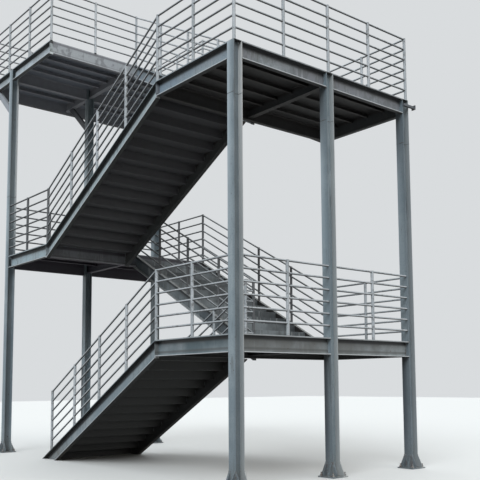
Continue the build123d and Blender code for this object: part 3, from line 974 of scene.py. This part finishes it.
def baseLines(x, y, s):
    # round the column's foot, and down and along both faces of each gusset
    foot = s["thick"]
    top = s["gussetTop"]
    reach = s["size"] / 2 - s["margin"]
    lines = [(columnOutline(x, y, foot), True)]
    for side in (-1, 1):
        faceX, faceY = x + side * halfColumn, y + side * halfColumn
        tipX, tipY = x + side * reach, y + side * reach
        for place in (-1, 1):
            middle = x + place * s["spacing"] / 2
            for skin in (-1, 1):
                across = middle + skin * s["gussetThick"] / 2
                lines.append(([(across, faceY, top), (across, faceY, foot), (across, tipY, foot)], False))
            outer = y + place * halfColumn
            inner = outer - place * sections["columnFlange"]
            for across in (outer, inner):
                lines.append(([(tipX, across, foot), (faceX, across, foot)], False))
            lines.append(([(faceX, outer, foot), (faceX, outer, top)], False))
    return lines


feet = [line for x, y in columnAxes for line in baseLines(x, y, base)]
grow(linePiece("column_base_welds", feet), longBead, steelWelds["bases"])


def channelCorners(web, way):
    # depth across the channel and height below its top, with its back at web
    tip = web + way * sections["channelWidth"]
    inner = web + way * sections["channelWeb"]
    low = -sections["channelDepth"]
    flange = sections["channelFlange"]
    return [(tip, 0), (tip, -flange), (inner, -flange), (inner, low + flange), (tip, low + flange),
            (tip, low), (web, low), (web, 0)]


# across the stair, the backs of the channels at the front and at the back
frontWeb = frontFace + sections["channelWidth"]
backWeb = backFace - sections["channelWidth"]


def landingBeamLines(landing):
    # where the landing's edge beams meet the columns
    top = landing * sections["rise"] - sections["deckThick"]
    _, axis, outer, way = landingSide(landing)
    faces = [axis - way * halfColumn]
    if landing == 4:
        faces.append(axis + way * halfColumn)
    lines = []
    for x in faces:
        for web, side in ((frontWeb, -1), (backWeb, 1)):
            lines.append(([(x, y, top + z) for y, z in channelCorners(web, side)], True))
    if landing < 4:
        outline = channelCorners(outer - way * sections["channelWidth"], way)
        for low, high in zip(columnLines, columnLines[1:]):
            for y in (low + halfColumn, high - halfColumn):
                lines.append(([(x, y, top + z) for x, z in outline], True))
    return lines


def flightWebs(flight):
    # across the stair: the backs of the outer and the inner stringer, and the way outwards
    outer, outwards = (frontWeb, -1) if flight % 2 else (backWeb, 1)
    inner = middleY + outwards * (sections["wellGap"] / 2 + sections["channelWidth"])
    return outer, inner, outwards


def stringerLines(flight):
    # round the stringers' ends on the landings' edge plates
    outer, inner, outwards = flightWebs(flight)
    upright = math.cos(math.atan2(sections["rise"], sections["run"]))
    lines = []
    for x, level in flightEnds(flight):
        if level == 0:
            continue
        for web, side in ((outer, outwards), (inner, -outwards)):
            lines.append(([(x, y, level + z / upright) for y, z in channelCorners(web, side)], True))
    return lines


for storey in storeys:
    lines = landingBeamLines(storey) + stringerLines(storey)
    grow(linePiece(f"beam_welds_{storey}", lines), longBead, steelWelds["beams"])


# Welds of the knee braces, the ties and the decks' ribs

brace = {"reach": 0.86, "drop": 0.77, "depth": 0.12, "width": 0.06, "joistDepth": 0.2}


def braceLines(s):
    # round both ends of each brace, on the column and under the beam
    top = 4 * sections["rise"] - sections["deckThick"]
    low = top - sections["channelDepth"] - s["drop"]
    lean = math.atan2(s["drop"], s["reach"])
    high = low + s["depth"] / math.cos(lean)
    face = leftAxis - halfColumn
    lines = []
    for y in columnLines:
        near, far = y - s["width"] / 2, y + s["width"] / 2
        head = top - (s["joistDepth"] if y == middleY else sections["channelDepth"])
        tip = face - (head - low) / math.tan(lean)
        heel = tip + s["depth"] / math.sin(lean)
        for x0, z0, x1, z1 in ((face, low, face, high), (tip, head, heel, head)):
            lines.append(([(x0, near, z0), (x0, far, z0), (x1, far, z1), (x1, near, z1)], True))
    return lines


def tieLines(s):
    # along the tips of the column's flanges, and round the bar's end on its plate
    half = s["width"] / 2
    flange = sections["columnFlange"]
    lines = []
    for (x, z), tips in zip(tieCentres, (rightOuter, leftOuter)):
        for edge in (z - half, z + half):
            for y in (backFace - sections["columnWidth"], backFace - flange):
                lines.append(([(tips, y, edge), (tips, y + flange, edge)], False))
        corners = ((-half, -half), (half, -half), (half, half), (-half, half))
        lines.append(([(x + i, tiePlateFace, z + j) for i, j in corners], True))
    return lines


grow(linePiece("brace_welds", braceLines(brace)), longBead, steelWelds["beams"])
grow(linePiece("tie_welds", tieLines(ties)), longBead, steelWelds["columns"])

ribs = {"perLanding": 4, "inOverhang": 2, "thick": 0.006, "stitch": 0.06, "spacing": 0.25, "clear": 0.1}


def ribPlaces(landing, s):
    # evenly between the edge at the flights and the columns, and in the overhang
    edge, axis, _, way = landingSide(landing)
    spans = [(edge, axis - way * halfColumn, s["perLanding"])]
    if landing == 4:
        spans.append((topEnd + sections["channelWidth"], axis + way * halfColumn, s["inOverhang"]))
    return [low + (high - low) * (i + 1) / (count + 1) for low, high, count in spans for i in range(count)]


def ribLines(landing, s):
    # stitches on both sides of each rib, clear of the beam under the landing's middle
    top = landing * sections["rise"] - sections["deckThick"]
    starts = [frontWeb + s["spacing"] * (i + 0.5) for i in range(int((backWeb - frontWeb) / s["spacing"]))]
    starts = [y for y in starts if abs(y + s["stitch"] / 2 - middleY) >= s["clear"]]
    lines = []
    for x in ribPlaces(landing, s):
        for y in starts:
            for side in (x, x + s["thick"]):
                lines.append(([(side, y, top), (side, y + s["stitch"], top)], False))
    return lines


for landing in storeys:
    stitches = linePiece(f"rib_welds_{landing}", ribLines(landing, ribs))
    grow(stitches, hiddenBead, steelWelds["steps"])


# Stitch welds that hold the treads and risers between the stringers

stitch = {"length": 0.06, "inset": 0.03, "stepThick": 0.005, "out": 0.001}


def stepNumbers(flight):
    # flights above the first start with a plate level with their landing
    return range(1 if flight == 1 else 0, sections["risers"])


def stepLines(flight, s):
    # two stitches under each tread and one behind each riser, at both stringers
    (x, z), _ = flightEnds(flight)
    way = flightWay(flight)
    outer, inner, outwards = flightWebs(flight)
    lines = []
    for number in stepNumbers(flight):
        nosing = x + way * going * number
        under = z + riser * number - s["stepThick"]
        for y in (outer - outwards * s["out"], inner + outwards * s["out"]):
            for start in (s["inset"], going - s["inset"] - s["length"]):
                near = nosing + way * start
                lines.append(([(near, y, under), (near + way * s["length"], y, under)], False))
            if number:
                back = nosing + way * s["stepThick"]
                low = under - riser / 2 - s["length"] / 2
                lines.append(([(back, y, low), (back, y, low + s["length"])], False))
    return lines


for flight in storeys:
    stitches = linePiece(f"step_welds_{flight}", stepLines(flight, stitch))
    grow(stitches, longBead, steelWelds["steps"])
print("steelwork welded")


# Lugs of the chequer plate, on decks and treads

lugs = {
    "pitch": 0.036,  # as the mills roll it, between lugs that lie across each other
    "length": 0.026,
    "width": 0.008,
    "height": 0.0014,
    "margin": 0.018,
}


def lugTree():
    # a low six-sided lens on each point, turned one way and the other by turns
    tree, given = startTree("chequerLug", {"length": "Float", "width": "Float", "height": "Float"})
    cone = {"Vertices": 6, "Radius Top": 0.0, "Radius Bottom": 0.5, "Depth": 1.0}
    cone = addNode(tree, "GeometryNodeMeshCone", cone)
    size = {"X": given["length"], "Y": given["width"], "Z": given["height"]}
    size = addNode(tree, "ShaderNodeCombineXYZ", size)
    lug = addNode(tree, "GeometryNodeTransform", {"Geometry": cone, "Scale": size})
    turn = addNode(tree, "GeometryNodeInputNamedAttribute", {"Name": "turn"}, data_type="FLOAT")
    aim = addNode(tree, "FunctionNodeAxisAngleToRotation", {"Angle": turn})
    rows = {"Points": given["Geometry"], "Instance": lug, "Rotation": aim}
    rows = addNode(tree, "GeometryNodeInstanceOnPoints", rows)
    endTree(tree, rows, deckEnamel, False)
    return tree


chequerLug = lugTree()


def lugRow(low, high, s):
    # as many places as there is room for between two edges
    count = int((high - low - 2 * s["margin"]) / s["pitch"])
    start = (low + high - count * s["pitch"]) / 2
    return [start + i * s["pitch"] for i in range(count + 1)]


def lugPiece(name, plates, holes, s):
    # plates are (low x, high x, low y, high y, level); holes are the axes of columns that pass through
    points = []
    turns = []
    reach = halfColumn + s["margin"]
    for x0, x1, y0, y1, level in plates:
        for i, x in enumerate(lugRow(x0, x1, s)):
            for j, y in enumerate(lugRow(y0, y1, s)):
                if any(abs(x - hx) < reach and abs(y - hy) < reach for hx, hy in holes):
                    continue
                points.append((x, y, level))
                turns.append(math.pi / 4 if (i + j) % 2 else -math.pi / 4)
    piece = newPiece(name, points)
    attribute = piece.data.attributes.new("turn", "FLOAT", "POINT")
    attribute.data.foreach_set("value", turns)
    grow(piece, chequerLug, s)


for landing in storeys:
    low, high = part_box(f"landing_{landing}_deck")
    holes = columnAxes if landing < 3 else []
    lugPiece(f"deck_lugs_{landing}", [(low.x, high.x, low.y, high.y, high.z)], holes, lugs)


def treadPlates(flight):
    (x, z), _ = flightEnds(flight)
    way = flightWay(flight)
    low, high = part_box(f"flight_{flight}_steps")
    plates = []
    for number in stepNumbers(flight):
        near = x + way * going * number
        plates.append((*sorted((near, near + way * going)), low.y, high.y, z + riser * number))
    return plates


for flight in storeys:
    lugPiece(f"tread_lugs_{flight}", treadPlates(flight), [], lugs)
print("chequer plate laid")
